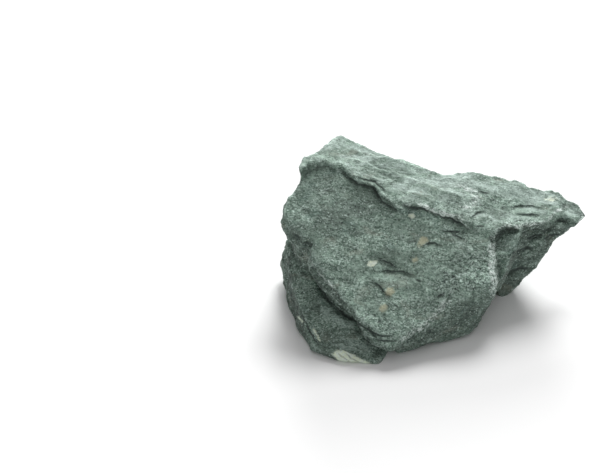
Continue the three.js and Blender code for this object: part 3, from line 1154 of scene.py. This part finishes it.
# %% Bruises
knocks = mineral((6, 3.5, 3.5), detail=3.5, rough=0.7, warp=0.8)
wisps = mineral((34, 11, 11), detail=4.0, rough=0.58, warp=1.4)
web = mineral((5, 3, 3), detail=4.0, rough=0.7, warp=1.5)
powder = mixed(ramp(tone, 0.2, 0.8), THIN_POWDER, POWDER)
on_edges = product(
    ramp(stored("edge"), 0.32, 0.8, 0.0, 0.5),
    ramp(knocks, 0.38, 0.6),
    # less powder on the faces that turn down, which keeps their painted shade dark
    ramp(stored("under"), 0.2, 1, 1.0, 0.45),
)
on_rims = product(
    stored("bruise"),
    ramp(knocks, 0.36, 0.62, 0.3, 1.2),
    ramp(tone, 0.1, 0.7, 0.5, 1.2),
)
on_rims = ramp(on_rims, 0.1, 0.9)
on_top = product(stored("top"), ramp(wisps, 0.45, 0.60, 0.0, 0.9))
in_veins = product(stored("crushed"), ramp(web, 0.52, 0.66, 0.0, 0.75))
bruised = tinted
for share in (on_edges, on_top, in_veins):
    bruised = mixed(share, bruised, powder)
bruised = mixed(on_rims, bruised, mixed(ramp(tone, 0.2, 0.8), POWDER, THICK_POWDER))
print("nodes with the bruises", len(tree.nodes))

# %% [markdown]
# ## Pits, cracks and hollows
# Small pits and thin slits along the layers are darkened. The drawn cracks get a dark painted
# shade and the wider hollows a lighter one.

# %% Pits, cracks and hollows
pit_noise = mineral((2.6, 2.0, 2.0), detail=1.0)
slit_noise = mineral((7, 1.5, 1.0), detail=1.5, warp=0.5)
pits = product(stored("crushed"), ramp(pit_noise, 0.40, 0.33, 0.0, 0.8))
# painted shade along the bottoms of the scars and clefts
crack_shade = ramp(stored("crack"), 0.15, 0.9, 0.0, 0.85)
pits_and_shade = mixed(pits, bruised, DARK_PIT_AND_CRACK_SHADE)
pits_and_shade = mixed(ramp(slit_noise, 0.37, 0.31, 0.0, 0.5), pits_and_shade, BLACK_GRAIN_AND_SHADE)
pits_and_shade = mixed(crack_shade, pits_and_shade, DARK_PIT_AND_CRACK_SHADE)
# painted shade in the wider hollows
pits_and_shade = mixed(ramp(stored("hollow"), 0.1, 0.8, 0.0, 0.6), pits_and_shade, BLACK_GRAIN_AND_SHADE)
print("nodes with the dirt", len(tree.nodes))

# %% [markdown]
# ## Patches of other minerals
# The border of a patch is where its stored value passes a half. Noise added to the value moves
# the border to and fro by a pixel or two.

# %% Patches of other minerals
ragged = mineral((1.6, 1.3, 1.3), detail=2.0, rough=0.7)
ragged = product(maths("SUBTRACT", ragged, 0.5), 0.5)
pale = ramp(maths("ADD", stored("pale"), ragged), 0.42, 0.68)
ochre = ramp(maths("ADD", stored("ochre"), ragged), 0.40, 0.80, 0.0, 0.7)
vein_colour = mixed(ramp(matted, 0.3, 0.7), EPIDOTE, CALCITE)
patched = mixed(pale, pits_and_shade, vein_colour)
patched = mixed(ochre, patched, RUST)
# painted shade along the cracks, once more over the patches
patched = mixed(ramp(stored("crack"), 0.3, 0.9, 0.0, 0.5), patched, BLACK_GRAIN_AND_SHADE)
wire(patched, shader, "Base Color")
print("nodes of the colour", len(tree.nodes))

# %% [markdown]
# ## Roughness and fine relief
# Chlorite is dull and only slightly silky. The finest relief is finer than the net, so it is a
# bump: two sizes of flat facets, a little of each grain and the streaks of the layers. It is
# lower on the smooth top.

# %% Roughness and fine relief
wire(ramp(tone, 0.2, 0.9, 0.62, 0.88), shader, "Roughness")
wire(0.4, shader, "Specular IOR Level")
relief = facets((4.2, 3.2, 2.4))
relief = maths("ADD", relief, product(facets((1.9, 1.6, 1.3)), 0.45))
relief = maths("ADD", relief, product(grain_tone, 0.12))
relief = maths("ADD", relief, product(streaks, 0.3))
relief = product(relief, ramp(stored("top"), 0, 1, 1.0, 0.65))
bump = put("ShaderNodeBump")
wire(1.0, bump, "Strength")
wire(1.1 * MM, bump, "Distance")
wire(relief, bump, "Height")
wire(bump.outputs["Normal"], shader, "Normal")
stone.data.materials.clear()
stone.data.materials.append(slate)
print("nodes in all", len(tree.nodes))

# %% [markdown]
# ## Paper and lamps
# The stone lies on white paper that fills the picture, in a white room. Two wide lamps stand
# behind it: the high one lights the top and the big face, the low one throws the long soft
# shadow towards the viewer. Wide lamps give soft shadow borders. The plain view transform keeps
# the paper white.

# %% Paper and lamps
PAPER = 8  # metres, so wide that no edge of it shows
ROOM_LIGHT = 0.40  # strength of the light that comes from all around

bpy.ops.mesh.primitive_plane_add(size=PAPER)
paper = bpy.context.object
paper.name = "paper"
white = bpy.data.materials.new("white paper")
white.use_nodes = True
surface = white.node_tree.nodes["Principled BSDF"]
wire((0.9, 0.9, 0.9, 1), surface, "Base Color")
wire(0.9, surface, "Roughness")
paper.data.materials.append(white)

world = bpy.data.worlds.new("room")
bpy.context.scene.world = world
world.use_nodes = True
walls = world.node_tree.nodes["Background"]
wire((1, 1, 1, 1), walls, "Color")
wire(ROOM_LIGHT, walls, "Strength")

LAMPS = {
    # where the lamp shines from, its strength and how wide it looks in degrees
    "high lamp": ((0.25, 1.0, 0.88), 2.8, 22),
    "low lamp": ((0.0, 1.0, 0.36), 2.2, 20),
}
for name, (direction, strength, width) in LAMPS.items():
    light = bpy.data.lights.new(name, "SUN")
    light.energy = strength
    light.angle = math.radians(width)
    lamp = bpy.data.objects.new(name, light)
    bpy.context.scene.collection.objects.link(lamp)
    lamp.rotation_euler = Vector(direction).to_track_quat("Z", "Y").to_euler()
bpy.context.scene.view_settings.view_transform = "Standard"
print("lamps", len(LAMPS))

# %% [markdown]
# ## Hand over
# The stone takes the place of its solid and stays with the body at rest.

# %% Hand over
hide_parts("slate_stone")
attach(stone, "root")
